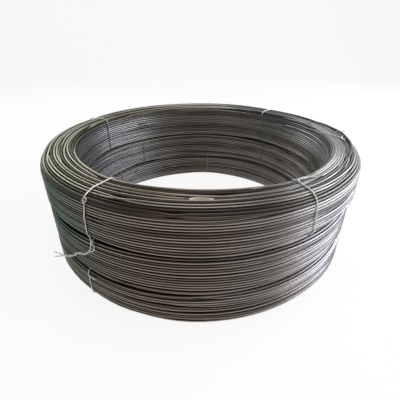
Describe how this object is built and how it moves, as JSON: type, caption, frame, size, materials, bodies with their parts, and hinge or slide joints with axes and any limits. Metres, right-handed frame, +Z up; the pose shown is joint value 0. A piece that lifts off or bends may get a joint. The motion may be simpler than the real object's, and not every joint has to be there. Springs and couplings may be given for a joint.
{
  "type": "coil of wire rod",
  "caption": "Coil of dark steel wire rod: tied bundles of round turns stacked on one open bore, bound with thin tie wires, standing on its end.",
  "frame": {"origin": "on the bore's axis, in the plane of the lowest turns that the coil stands on", "axes": "+Z up along the bore; -Y towards the side that the picture shows as the front"},
  "size_m": [0.7222, 0.7241, 0.247],
  "materials": {
    "wire_rod": "drawn and oiled, dark mill skin with a brown and green cast",
    "tie_wire": "bright galvanised",
    "paper": "bare matt paper"
  },
  "bodies": {
    "root": {"upper_bundle": "wire_rod", "middle_bundle": "wire_rod", "lower_bundle": "wire_rod", "upper_tie_1": "tie_wire", "upper_tie_2": "tie_wire", "upper_tie_3": "tie_wire", "upper_tie_4": "tie_wire", "upper_tie_5": "tie_wire", "middle_tie_1": "tie_wire", "middle_tie_2": "tie_wire", "middle_tie_3": "tie_wire", "middle_tie_4": "tie_wire", "lower_tie_1": "tie_wire", "lower_tie_2": "tie_wire", "lower_tie_3": "tie_wire", "lower_tie_4": "tie_wire", "paper_slip": "paper"}
  },
  "joints": []
}
